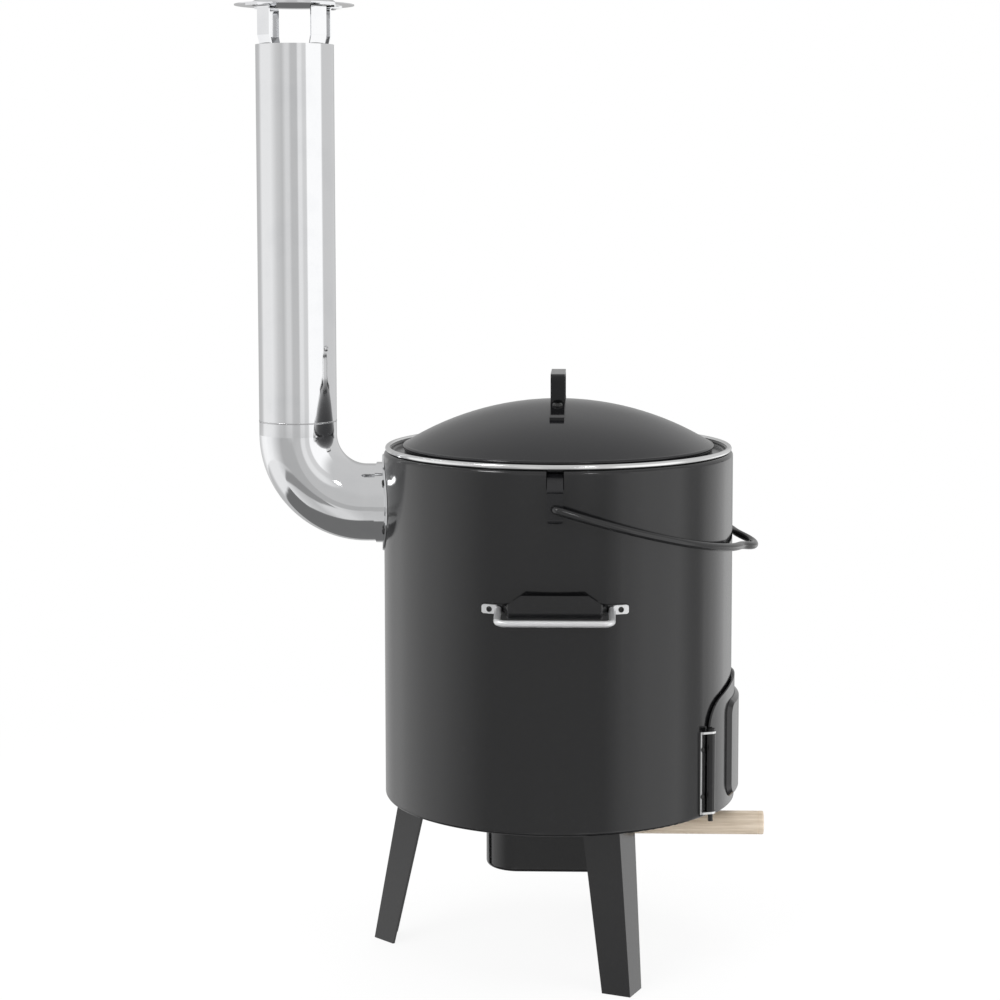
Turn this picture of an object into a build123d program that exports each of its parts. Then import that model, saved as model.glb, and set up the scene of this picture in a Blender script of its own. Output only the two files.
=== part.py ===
# Cauldron stove on three legs, in millimetres.
# The origin is on the floor under the drum's axis, +Z is up, the fire door faces +X,
# the flue stands on the -X side, and the near side handle faces -Y.
import os
from math import asin, atan2, cos, degrees, radians, sin, sqrt

from build123d import *

os.makedirs("parts", exist_ok=True)

# Clearances, and one overrun for every through cut
seat_gap = 0.3
fit_gap = 0.05
side_gap = 0.7
overrun = 12.0

# Drum
drum_r = 180.0
drum_wall = 1.5
drum_height = 359.6
shoulder_r = 4.0
drum_base_round = 4.0
drum_lip = 6.0
base_flange_share = 0.2444
leg_height = 160.0
floor_wall = 1.5
ash_hole_share = 0.6222
ash_hole_round = 20.0

# Legs
leg_splay = 28.5
leg_top_inset = 15.0
leg_arm_top = 40.0
leg_arm_foot = 30.0
leg_wall = 2.5
leg_tab_reach = 38.0
leg_bolt_inset = 21.0
front_leg_angle = 67.5
leg_bolt_r = 4.0
leg_bolt_head_r = 6.5
leg_bolt_head = 4.0
leg_bolt_end = 1.5
leg_nut_across = 13.0
leg_nut_height = 6.0

# Fire grate
grate_share = 0.7889
grate_wall = 6.0
grate_foot = 20.0
grate_foot_r = 6.0
grate_foot_ring_share = 0.831
grate_slot_width = 9.0
grate_slot_pitch = 19.0
grate_rim = 16.0

# Ash pan and its rails
pan_length_share = 0.8111
pan_width_share = 0.8333
pan_depth = 60.0
pan_wall = 1.5
pan_corner_share = 0.2267
pan_base_round = 5.0
pan_flange = 7.0
rail_drop = 8.0
rail_wall = 1.5
rail_top = 12.0
rail_back_share = 0.4778
rail_front_share = 0.5111
rail_rivet_r = 2.0
rail_rivet_head_r = 4.0
rail_rivet_head = 1.5
rail_rivet_share = 0.3333

# Wooden grip of the ash pan
grip_r = 12.2
grip_length = 138.0
grip_standoff = 4.0
grip_end_round = 3.0
grip_below_pan_rim = 26.5
grip_bore_depth = 96.0
grip_rod_r = 4.0
grip_nut_across = 13.0
grip_nut_height = 6.0
grip_rod_inside = 12.0

# Cauldron and its rim
pot_gap = 28.5
pot_wall = 1.5
pot_depth = 192.0
pot_base_round = 45.0
pot_mouth_round = 4.0
pot_step_round = 2.5
pot_flange_drop = 4.5
ring_wire_r = 2.6

# Bail ears
ear_width = 15.6
ear_wall = 2.0
ear_stand = 4.0
ear_root = 8.0
ear_knee_drop = 15.3
ear_notch_drop = 17.6
ear_bend = 1.0
ear_hump = 1.6
ear_hump_drop = 2.6
ear_end_drop = 15.1
ear_corner_r = 4.0
bail_pivot_drop = 36.0

# Bail
bail_rod_r = 4.0
bail_hook_round = 6.0
bail_straight = 7.5
bail_crest = 12.2
bail_crest_r = 55.0
bail_flare_r = 45.0
bail_rest_angle = 16.8
bail_head_r = 5.6
bail_head = 1.6

# Lid
lid_inset = 11.3
lid_rise = 44.6
lid_skirt = 3.8
lid_wall = 1.5
lid_bead_r = 2.4
lid_screw_r = 2.5
lid_screw_head_r = 5.0
lid_screw_head = 3.0
lid_screw_spread = 52.0
lid_nut_across = 8.0
lid_nut_height = 4.0

# Lid handle
lid_handle_width = 14.6
lid_handle_wall = 3.0
lid_handle_top = 29.0
lid_handle_span = 76.0
lid_handle_foot = 88.0
lid_handle_bend = 5.0

# Flue
flue_r = 40.0
flue_wall = 1.0
flue_drop = 55.6
flue_bend_r = 70.9
flue_stub = 18.6
flue_inlet = 7.5
flue_spigot = 40.0
flue_pipe_height = 386.2
flue_joint_lift = 13.2
flue_hole_gap = 0.6
collar_r = 50.0
collar_wall = 1.5
collar_sleeve = 8.0
collar_sleeve_wall = 1.4
collar_screw_rise = 25.0
collar_screw_spread = 38.0
collar_screw_r = 1.6
collar_screw_head_r = 3.2
collar_screw_head = 1.8
collar_screw_end = 3.0
pipe_rivet_r = 1.5
pipe_rivet_head_r = 3.0
pipe_rivet_head = 1.2
pipe_rivet_lift = 77.2
pipe_rivet_angle = -36.0

# Rain cap and its straps
cap_lift = 39.5
cap_brim_r = 61.0
cap_crown_r = 45.6
cap_crown_rise = 21.0
cap_tip_r = 9.0
cap_shoulder_r = 33.0
cap_shoulder_rise = 9.0
cap_round = 8.0
cap_wall = 1.0
strap_width = 19.5
strap_wall = 1.5
strap_insert = 28.0
strap_kink = 9.0
strap_tab = 16.0
strap_bend = 1.6
cap_rivet_r = 1.6
cap_rivet_head_r = 3.2
cap_rivet_head = 1.2
cap_rivet_inset = 4.0

# Side handles and the plates behind them
handle_drop = 135.3
handle_sag = 7.2
handle_rod_r = 3.3
handle_span = 110.4
handle_reach = 38.0
handle_round = 8.0
handle_tab_offset = 8.7
handle_tab_width = 16.0
handle_tab_height = 8.8
handle_tab_wall = 3.0
handle_tab_round = 2.5
handle_screw_r = 1.7
handle_screw_head_r = 2.8
handle_screw_head = 1.6
handle_nut_across = 7.0
handle_nut_height = 3.0
shield_wall = 1.5
shield_stand = 10.0
shield_inset = 10.5
shield_top_inset = 12.0
shield_rise = 16.0
shield_shoulder = 7.0
shield_wing = 5.0
shield_skirt = 3.8
shield_bend = 1.5

# Fire door
door_width = 199.0
door_height = 126.5
door_base = 1.2
door_wall = 1.5
door_stand = 2.0
door_arch_r = 314.0
door_top_round = 30.0
door_corner_round = 14.0
door_lap = 14.0
opening_base = 13.0
opening_height = 88.0
opening_round = 22.0
panel_half_width = 64.0
panel_base = 8.5
panel_height = 101.0
panel_round = 16.0
panel_proud = 4.6
panel_slope = 4.0

# Door hinge
hinge_pin_r = 2.5
knuckle_r = 4.6
knuckle_lift = 0.8
knuckle_base = 7.3
knuckle_height = 79.0
hinge_side = 2.6
ear_plate = 2.2
ear_room = 1.2
bracket_wall = 2.0
bracket_width = 8.0
bracket_ear_r = 5.0
pin_head_r = 4.0
pin_head = 2.0
pin_tail = 8.0
hinge_rivet_r = 1.6
hinge_rivet_head_r = 3.0
hinge_rivet_head = 1.3
hinge_rivet_inset = 18.0

# Door latch
latch_edge = 27.0
latch_height = 46.0
latch_shaft_r = 3.0
latch_hub_r = 7.0
latch_hub = 5.0
latch_arm_width = 10.0
latch_arm_length = 42.0
latch_arm_wall = 4.0
latch_grip_rise = 9.0
latch_tongue_width = 10.0
latch_tongue_length = 27.0
latch_tongue_wall = 2.5
latch_nut_across = 10.0
latch_nut_height = 4.0

# Heights and radii that follow from the driving dimensions
drum_base = leg_height
drum_top = drum_base + drum_height
drum_in_r = drum_r - drum_wall
floor_top = drum_base + drum_wall + floor_wall
lip_in_r = drum_r - drum_lip
ring_r = drum_r - shoulder_r
ring_z = drum_top + seat_gap + ring_wire_r
pot_in_r = drum_in_r - pot_gap - pot_wall
pot_step_r = lip_in_r - side_gap - pot_wall
pot_flange_z = ring_z - pot_flange_drop
lid_r = pot_step_r - lid_inset
flue_z = drum_top - flue_drop
flue_x = -(drum_r + flue_stub + flue_bend_r)
flue_joint_z = flue_z + flue_bend_r + flue_joint_lift
flue_top_z = flue_joint_z + flue_pipe_height
pan_rim_z = drum_base + drum_wall - rail_drop
door_in_r = drum_r + door_stand
door_out_r = door_in_r + door_wall
base_flange = drum_r * base_flange_share
ash_hole = drum_r * ash_hole_share
grate_r = drum_r * grate_share
grate_foot_ring_r = grate_r * grate_foot_ring_share
pan_length = drum_r * pan_length_share
pan_width = drum_r * pan_width_share
pan_corner_r = pan_width * pan_corner_share
rail_back = drum_r * rail_back_share
rail_front = drum_r * rail_front_share
rail_rivet_spread = drum_r * rail_rivet_share
handle_tab_spread = handle_span / 2 + handle_tab_offset
shield_half_width = handle_span / 2 - shield_inset
shield_top_half_width = shield_half_width - shield_top_inset
half_turn = 180
quarter_turn = 90


def save(part, name):
    """Label a finished piece and write it as a STEP file of the same name."""
    part.label = name
    export_step(part, "parts/" + name + ".step")


def wall_plane(angle, z, radius):
    """A plane that faces straight out of the drum: x runs round it, y runs up."""
    out = Vector(cos(radians(angle)), sin(radians(angle)), 0)
    return Plane(origin=out * radius + Vector(0, 0, z), x_dir=out.rotate(Axis.Z, quarter_turn), z_dir=out)


def hex_r(across):
    """The corner radius of a hexagon with this size across its flats."""
    return across / sqrt(3)


# Places shared by fasteners and the holes that they go through
handle_z = drum_top - handle_drop
shield_in = drum_r + seat_gap
tab_in = shield_in + shield_wall + seat_gap
tab_out = tab_in + handle_tab_wall
tab_angle = degrees(asin(handle_tab_spread / tab_out))
tab_angles = [270 - tab_angle, 270 + tab_angle, 90 - tab_angle, 90 + tab_angle]

collar_in_r = drum_r + seat_gap
collar_angle = degrees(asin(collar_screw_spread / collar_in_r))
collar_screw_places = [
    (half_turn + side * collar_angle, flue_z + rise * collar_screw_rise)
    for side in (-1, 1)
    for rise in (-1, 1)
]

leg_angles = {"leg_flue_side": half_turn, "leg_near": -front_leg_angle, "leg_far": front_leg_angle}
leg_top_r = drum_r - leg_top_inset
leg_foot_r = leg_top_r + leg_splay
leg_bolt_ring_r = leg_top_r - leg_bolt_inset

hinge_r = drum_r + knuckle_r + knuckle_lift
hinge_y = -(door_width / 2 + hinge_side)
hinge_x = sqrt(hinge_r**2 - hinge_y**2)
hinge_angle = degrees(atan2(hinge_y, hinge_x))
knuckle_z = drum_base + knuckle_base
bracket_in_r = drum_r + seat_gap
bracket_base_z = knuckle_z - seat_gap - ear_plate
bracket_height = knuckle_height + 2 * (seat_gap + ear_plate)
bracket_gap_angle = degrees((knuckle_r + side_gap) / hinge_r)
bracket_mid_angle = hinge_angle - bracket_gap_angle - degrees(bracket_width / 2 / drum_r)
hinge_rivet_places = [
    (bracket_mid_angle, bracket_base_z + hinge_rivet_inset),
    (bracket_mid_angle, bracket_base_z + bracket_height - hinge_rivet_inset),
]

rail_rivet_y = pan_width / 2 + pan_flange + side_gap + rail_top / 2
rail_rivet_places = [
    (x * rail_rivet_spread, y * rail_rivet_y) for x in (-1, 1) for y in (-1, 1)
]

# Drum: one revolved wall with an upper lip and a base flange
with BuildPart() as shell_body:
    with BuildSketch(Plane.XZ):
        with BuildLine():
            FilletPolyline(
                (drum_r - base_flange, drum_base),
                (drum_r, drum_base),
                (drum_r, drum_top),
                (lip_in_r, drum_top),
                radius=[drum_base_round, shoulder_r],
            )
            offset(amount=drum_wall, side=Side.LEFT)
        make_face()
    revolve(axis=Axis.Z)
    # Fire opening, with rounded corners
    with BuildSketch(Plane.YZ):
        with BuildLine():
            half = door_width / 2 - door_lap
            low = drum_base + opening_base
            high = low + opening_height
            Polyline((-half, low), (half, low), (half, high), (-half, high), close=True)
        make_face()
        fillet(vertices(), opening_round)
    extrude(amount=drum_r + overrun, mode=Mode.SUBTRACT)
    # Flue hole
    with BuildSketch(Plane.YZ):
        with Locations((0, flue_z)):
            Circle(flue_r + flue_hole_gap)
    extrude(amount=-(drum_r + overrun), mode=Mode.SUBTRACT)
    # Notches that the bail ears drop into
    with BuildSketch(Plane.XY.offset(drum_top)):
        with Locations((0, drum_r), (0, -drum_r)):
            Rectangle(ear_width + 2 * side_gap, 2 * drum_lip + overrun)
    extrude(amount=-ear_notch_drop, mode=Mode.SUBTRACT)
    # Holes for handle screws, collar screws, hinge rivets and leg bolts
    for angle in tab_angles:
        with BuildSketch(wall_plane(angle, handle_z, drum_r)):
            Circle(handle_screw_r + fit_gap)
        extrude(amount=overrun, both=True, mode=Mode.SUBTRACT)
    for angle, z in collar_screw_places:
        with BuildSketch(wall_plane(angle, z, drum_r)):
            Circle(collar_screw_r + fit_gap)
        extrude(amount=overrun, both=True, mode=Mode.SUBTRACT)
    for angle, z in hinge_rivet_places:
        with BuildSketch(wall_plane(angle, z, drum_r)):
            Circle(hinge_rivet_r + fit_gap)
        extrude(amount=overrun, both=True, mode=Mode.SUBTRACT)
    with BuildSketch(Plane.XY.offset(drum_base)):
        for angle in leg_angles.values():
            with PolarLocations(leg_bolt_ring_r, 1, start_angle=angle):
                Circle(leg_bolt_r + fit_gap)
    extrude(amount=overrun, both=True, mode=Mode.SUBTRACT)
save(shell_body.part, "shell_body")

# Floor plate: lies on the base flange, with the ash hole in its middle
with BuildPart() as floor_plate:
    with BuildSketch(Plane.XY.offset(drum_base + drum_wall)):
        Circle(drum_in_r - drum_base_round)
        RectangleRounded(ash_hole, ash_hole, ash_hole_round, mode=Mode.SUBTRACT)
        for angle in leg_angles.values():
            with PolarLocations(leg_bolt_ring_r, 1, start_angle=angle):
                Circle(leg_bolt_r + fit_gap, mode=Mode.SUBTRACT)
        with Locations(*rail_rivet_places):
            Circle(rail_rivet_r + fit_gap, mode=Mode.SUBTRACT)
    extrude(amount=floor_wall)
save(floor_plate.part, "floor_plate")


def leg_outline(corner_r, arm):
    """The six corners of the angle section, its outer corner on the local x axis."""
    reach = arm / sqrt(2)
    skin = leg_wall / sqrt(2)
    return [
        (corner_r, 0),
        (corner_r - reach, reach),
        (corner_r - reach - skin, reach - skin),
        (corner_r - 2 * skin, 0),
        (corner_r - reach - skin, -(reach - skin)),
        (corner_r - reach, -reach),
    ]


# Legs: a tapered, splayed angle with a tab across its top
for name, angle in leg_angles.items():
    out = (cos(radians(angle)), sin(radians(angle)), 0)
    foot_plane = Plane(origin=(0, 0, 0), x_dir=out, z_dir=(0, 0, 1))
    with BuildPart() as leg:
        for plane, corner_r, arm in (
            (foot_plane, leg_foot_r, leg_arm_foot),
            (foot_plane.offset(leg_height), leg_top_r, leg_arm_top),
        ):
            with BuildSketch(plane):
                with BuildLine():
                    Polyline(*leg_outline(corner_r, arm), close=True)
                make_face()
        loft(ruled=True)
        with BuildSketch(foot_plane.offset(leg_height)):
            with BuildLine():
                inner = leg_top_r - 2 * leg_wall / sqrt(2)
                reach = leg_arm_top / sqrt(2)
                Polyline(
                    (inner, 0),
                    (leg_top_r - reach, reach - leg_wall),
                    (leg_top_r - leg_tab_reach, reach - leg_wall),
                    (leg_top_r - leg_tab_reach, leg_wall - reach),
                    (leg_top_r - reach, leg_wall - reach),
                    close=True,
                )
            make_face()
        extrude(amount=-leg_wall)
        with BuildSketch(foot_plane.offset(leg_height)):
            with Locations((leg_bolt_ring_r, 0)):
                Circle(leg_bolt_r + fit_gap)
        extrude(amount=-overrun, mode=Mode.SUBTRACT)
    save(leg.part, name)

# Leg bolts, from under each tab up through the floor, and their nuts
with BuildPart() as leg_bolts:
    for angle in leg_angles.values():
        with BuildSketch(Plane.XY.offset(leg_height - leg_wall)):
            with PolarLocations(leg_bolt_ring_r, 1, start_angle=angle):
                Circle(leg_bolt_head_r)
        extrude(amount=-leg_bolt_head)
        with BuildSketch(Plane.XY.offset(leg_height - leg_wall)):
            with PolarLocations(leg_bolt_ring_r, 1, start_angle=angle):
                Circle(leg_bolt_r)
        extrude(amount=floor_top - leg_height + leg_wall + leg_nut_height + leg_bolt_end)
save(leg_bolts.part, "leg_bolts")

with BuildPart() as leg_nuts:
    with BuildSketch(Plane.XY.offset(floor_top)):
        for angle in leg_angles.values():
            with PolarLocations(leg_bolt_ring_r, 1, start_angle=angle):
                RegularPolygon(hex_r(leg_nut_across), 6)
                Circle(leg_bolt_r + fit_gap, mode=Mode.SUBTRACT)
    extrude(amount=leg_nut_height)
save(leg_nuts.part, "leg_nuts")

# Fire grate: a slotted disc on four short feet
with BuildPart() as fire_grate:
    with BuildSketch(Plane.XY.offset(floor_top + grate_foot)):
        Circle(grate_r)
        slot_count = int((grate_r - grate_rim) / grate_slot_pitch)
        for index in range(-slot_count, slot_count + 1):
            y = index * grate_slot_pitch
            half = sqrt((grate_r - grate_rim) ** 2 - y**2)
            if 2 * half > 2 * grate_slot_width:
                with Locations((0, y)):
                    SlotOverall(2 * half, grate_slot_width, mode=Mode.SUBTRACT)
    extrude(amount=grate_wall)
    with BuildSketch(Plane.XY.offset(floor_top)):
        with PolarLocations(grate_foot_ring_r, 4, start_angle=45):
            Circle(grate_foot_r)
    extrude(amount=grate_foot + grate_wall / 2)
save(fire_grate.part, "fire_grate")

# Ash pan: a round-cornered pan with a rim flange that hangs in the rails
pan_floor_z = pan_rim_z - pan_depth
with BuildPart() as ash_pan:
    with BuildSketch(Plane.XY.offset(pan_floor_z)):
        RectangleRounded(pan_length, pan_width, pan_corner_r)
    extrude(amount=pan_depth)
    fillet(faces().sort_by(Axis.Z)[0].edges(), pan_base_round)
    with BuildSketch(Plane.XY.offset(pan_rim_z)):
        RectangleRounded(
            pan_length + 2 * pan_flange,
            pan_width + 2 * pan_flange,
            pan_corner_r + pan_flange,
        )
    extrude(amount=-pan_wall)
    with BuildSketch(Plane.XY.offset(pan_floor_z + pan_wall)):
        RectangleRounded(pan_length - 2 * pan_wall, pan_width - 2 * pan_wall, pan_corner_r - pan_wall)
    extrude(amount=pan_depth, mode=Mode.SUBTRACT)
    with BuildSketch(Plane.YZ):
        with Locations((0, pan_rim_z - grip_below_pan_rim)):
            Circle(grip_rod_r + fit_gap)
    extrude(amount=pan_length, mode=Mode.SUBTRACT)
save(ash_pan.part, "ash_pan")

# Rails: folded channels under the floor, with a stop at the back
rail_web_y = pan_width / 2 + pan_flange + side_gap
rail_in_y = pan_width / 2 + side_gap
rail_top_z = drum_base + drum_wall
rail_lip_z = pan_rim_z - pan_wall - seat_gap
with BuildPart() as pan_rail_far:
    with BuildSketch(Plane.YZ.offset(-rail_back)):
        with BuildLine():
            Polyline(
                (rail_web_y, rail_top_z),
                (rail_web_y + rail_top, rail_top_z),
                (rail_web_y + rail_top, rail_top_z - rail_wall),
                (rail_web_y + rail_wall, rail_top_z - rail_wall),
                (rail_web_y + rail_wall, rail_lip_z - rail_wall),
                (rail_in_y, rail_lip_z - rail_wall),
                (rail_in_y, rail_lip_z),
                (rail_web_y, rail_lip_z),
                close=True,
            )
        make_face()
    extrude(amount=rail_back + rail_front)
    # Back stop
    with BuildSketch(Plane.YZ.offset(-rail_back)):
        with Locations(((rail_in_y + rail_web_y) / 2, (rail_top_z + rail_lip_z) / 2)):
            Rectangle(rail_web_y - rail_in_y, rail_top_z - rail_lip_z)
    extrude(amount=rail_wall)
    with BuildSketch(Plane.XY.offset(rail_top_z)):
        with Locations((rail_rivet_spread, rail_rivet_y), (-rail_rivet_spread, rail_rivet_y)):
            Circle(rail_rivet_r + fit_gap)
    extrude(amount=-2 * rail_wall, mode=Mode.SUBTRACT)
save(pan_rail_far.part, "pan_rail_far")

with BuildPart() as pan_rail_near:
    mirror(pan_rail_far.part, about=Plane.XZ)
save(pan_rail_near.part, "pan_rail_near")

with BuildPart() as rail_rivets:
    with BuildSketch(Plane.XY.offset(rail_top_z - rail_wall - rail_rivet_head)):
        with Locations(*rail_rivet_places):
            Circle(rail_rivet_head_r)
    extrude(amount=rail_rivet_head)
    with BuildSketch(Plane.XY.offset(floor_top)):
        with Locations(*rail_rivet_places):
            Circle(rail_rivet_head_r)
    extrude(amount=rail_rivet_head)
    with BuildSketch(Plane.XY.offset(rail_top_z - rail_wall - rail_rivet_head)):
        with Locations(*rail_rivet_places):
            Circle(rail_rivet_r)
    extrude(amount=floor_top - rail_top_z + rail_wall + rail_rivet_head)
save(rail_rivets.part, "rail_rivets")

# Wooden grip on its threaded rod, square to the pan's front wall
grip_z = pan_rim_z - grip_below_pan_rim
pan_front_x = pan_length / 2
grip_plane = Plane.YZ.offset(pan_front_x + grip_standoff)
with BuildPart() as ash_pan_grip:
    with BuildSketch(grip_plane):
        with Locations((0, grip_z)):
            Circle(grip_r)
    extrude(amount=grip_length)
    fillet(edges().filter_by(GeomType.CIRCLE), grip_end_round)
    with BuildSketch(grip_plane):
        with Locations((0, grip_z)):
            Circle(grip_rod_r + fit_gap)
    extrude(amount=grip_bore_depth, mode=Mode.SUBTRACT)
save(ash_pan_grip.part, "ash_pan_grip")

with BuildPart() as ash_pan_rod:
    with BuildSketch(Plane.YZ.offset(pan_front_x - grip_rod_inside)):
        with Locations((0, grip_z)):
            Circle(grip_rod_r)
    extrude(amount=grip_rod_inside + grip_standoff + grip_bore_depth - seat_gap)
save(ash_pan_rod.part, "ash_pan_rod")

with BuildPart() as ash_pan_nuts:
    for nut_x, nut_height in (
        (pan_front_x - pan_wall, -grip_nut_height),
        (pan_front_x, grip_standoff),
    ):
        with BuildSketch(Plane.YZ.offset(nut_x)):
            with Locations((0, grip_z)):
                RegularPolygon(hex_r(grip_nut_across), 6)
                Circle(grip_rod_r + fit_gap, mode=Mode.SUBTRACT)
        extrude(amount=nut_height)
save(ash_pan_nuts.part, "ash_pan_nuts")

# Cauldron: one revolved wall with a sunk flange and a step up into the rim
with BuildPart() as cauldron:
    with BuildSketch(Plane.XZ):
        with BuildLine():
            FilletPolyline(
                (0, pot_flange_z - pot_depth),
                (pot_in_r, pot_flange_z - pot_depth),
                (pot_in_r, pot_flange_z),
                (pot_step_r, pot_flange_z),
                (pot_step_r, ring_z + pot_wall / 2),
                (ring_r, ring_z + pot_wall / 2),
                radius=[pot_base_round, pot_mouth_round, pot_step_round, pot_step_round],
            )
            offset(amount=pot_wall, side=Side.RIGHT)
        make_face()
    revolve(axis=Axis.Z)
save(cauldron.part, "cauldron")

# Bright rim: a wire-thick band rolled round the edge of the cauldron
with BuildPart() as cauldron_rim:
    with BuildSketch(Plane.XZ):
        with Locations((ring_r, ring_z)):
            Circle(ring_wire_r)
    revolve(axis=Axis.Z)
    add(cauldron.part, mode=Mode.SUBTRACT)
save(cauldron_rim.part, "cauldron_rim")

# Bail ears: straps from under the cauldron's flange, out through the notches and down
ear_in = drum_r + ear_stand
ear_out = ear_in + ear_wall
pivot_z = drum_top - bail_pivot_drop
ear_top_z = pot_flange_z - pot_wall
ear_crest_z = ear_top_z - ear_knee_drop
ear_end_z = pivot_z - ear_end_drop
ear_curl_r = ear_out - drum_r - side_gap
bail_half_width = ear_out + seat_gap + bail_hook_round
with BuildPart() as bail_ear_far:
    with BuildSketch(Plane.YZ):
        with BuildLine():
            FilletPolyline(
                (pot_in_r + pot_wall + ear_root, ear_top_z),
                (pot_step_r, ear_top_z),
                (ear_out + ear_hump, ear_crest_z),
                (ear_out, ear_crest_z - ear_hump_drop),
                (ear_out, ear_end_z),
                (drum_r + seat_gap, ear_end_z),
                radius=[ear_wall + ear_bend, ear_wall, ear_bend, ear_curl_r],
            )
            offset(amount=ear_wall, side=Side.RIGHT)
        make_face()
    extrude(amount=ear_width / 2, both=True)
    # Rounded lower corners, where the end curls in towards the drum
    with BuildSketch(Plane.XZ):
        with Locations((0, ear_top_z)):
            RectangleRounded(ear_width, 2 * (ear_top_z - ear_end_z), ear_corner_r)
    extrude(amount=-(ear_out + overrun), mode=Mode.INTERSECT)
    with BuildSketch(Plane.XZ.offset(-ear_in)):
        with Locations((0, pivot_z)):
            Circle(bail_rod_r + fit_gap)
    extrude(amount=2 * ear_wall, both=True, mode=Mode.SUBTRACT)
save(bail_ear_far.part, "bail_ear_far")

with BuildPart() as bail_ear_near:
    mirror(bail_ear_far.part, about=Plane.XZ)
save(bail_ear_near.part, "bail_ear_near")

# Bail: a round rod bent to a bow with a raised crest, its hooked ends headed behind the ears
crest_u = bail_straight + bail_half_width + bail_crest
crest_centre = crest_u - bail_crest_r
flare_reach = bail_half_width + bail_flare_r
crest_reach = bail_crest_r + bail_flare_r
centre_span = crest_centre - bail_straight
flare_u = (flare_reach**2 - crest_reach**2 + centre_span**2) / (2 * centre_span)
flare_v = sqrt(flare_reach**2 - flare_u**2)
bow_end_angle = degrees(atan2(flare_v, flare_u))
crest_half_angle = degrees(atan2(flare_v, flare_u - centre_span))
bail_tilt = radians(bail_rest_angle)
bail_plane = Plane(
    origin=(0, 0, pivot_z),
    x_dir=(cos(bail_tilt), 0, -sin(bail_tilt)),
    z_dir=(sin(bail_tilt), 0, cos(bail_tilt)),
)
bail_inner_end = drum_r + ear_stand - bail_head
with BuildPart() as bail:
    with BuildLine(bail_plane) as bail_path:
        pivot_end = Line((0, bail_inner_end), (0, bail_half_width - bail_hook_round))
        hook = JernArc(pivot_end @ 1, (0, 1), bail_hook_round, -quarter_turn)
        straight = Line(hook @ 1, (bail_straight, bail_half_width))
        bow = JernArc(straight @ 1, (1, 0), bail_half_width, -(quarter_turn - bow_end_angle))
        flare_dir = (sin(radians(bow_end_angle)), -cos(radians(bow_end_angle)))
        flare = JernArc(bow @ 1, flare_dir, bail_flare_r, crest_half_angle - bow_end_angle)
        crest_dir = (sin(radians(crest_half_angle)), -cos(radians(crest_half_angle)))
        JernArc(flare @ 1, crest_dir, bail_crest_r, -2 * crest_half_angle)
        mirror(pivot_end, about=Plane.XZ)
        mirror(hook, about=Plane.XZ)
        mirror(straight, about=Plane.XZ)
        mirror(bow, about=Plane.XZ)
        mirror(flare, about=Plane.XZ)
    end_plane = Plane(origin=(0, bail_inner_end, pivot_z), x_dir=(1, 0, 0), z_dir=(0, 1, 0))
    with BuildSketch(end_plane):
        Circle(bail_rod_r)
    sweep(path=bail_path.wire())
    for side in (-1, 1):
        head_plane = Plane(origin=(0, side * bail_inner_end, pivot_z), x_dir=(1, 0, 0), z_dir=(0, side, 0))
        with BuildSketch(head_plane):
            Circle(bail_head_r)
        extrude(amount=-bail_head)
        with BuildSketch(head_plane):
            Circle(bail_head_r)
        extrude(amount=bail_head - seat_gap)
save(bail.part, "bail")

# Lid: a shallow dome with a rolled bead round its edge, on a short skirt
lid_base_z = pot_flange_z + seat_gap
bead_z = lid_base_z + lid_skirt + lid_bead_r
dome_edge_r = lid_r - lid_bead_r
dome_edge_z = bead_z + lid_bead_r
dome_r = (dome_edge_r**2 + lid_rise**2) / (2 * lid_rise)
dome_centre_z = dome_edge_z + lid_rise - dome_r
dome_half_angle = asin(dome_edge_r / dome_r) / 2
strap_in_dome_r = dome_r + seat_gap
strap_out_dome_r = strap_in_dome_r + lid_handle_wall
lid_screw_tilt = asin(lid_screw_spread / dome_r)


def lid_screw_plane(side, radius):
    """A plane square to the dome under one foot of the lid handle."""
    out = Vector(0, side * sin(lid_screw_tilt), cos(lid_screw_tilt))
    return Plane(origin=Vector(0, 0, dome_centre_z) + out * radius, x_dir=(1, 0, 0), z_dir=out)


with BuildPart() as lid:
    with BuildSketch(Plane.XZ):
        with BuildLine():
            ThreePointArc(
                (0, dome_centre_z + dome_r),
                (dome_r * sin(dome_half_angle), dome_centre_z + dome_r * cos(dome_half_angle)),
                (dome_edge_r, dome_edge_z),
            )
            offset(amount=lid_wall, side=Side.RIGHT)
        make_face()
        with Locations((dome_edge_r, bead_z)):
            Circle(lid_bead_r)
        with Locations((dome_edge_r, (lid_base_z + bead_z) / 2)):
            Rectangle(lid_wall, bead_z - lid_base_z)
    revolve(axis=Axis.Z)
    for side in (-1, 1):
        with BuildSketch(lid_screw_plane(side, dome_r)):
            Circle(lid_screw_r + fit_gap)
        extrude(amount=overrun, both=True, mode=Mode.SUBTRACT)
save(lid.part, "lid")

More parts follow.
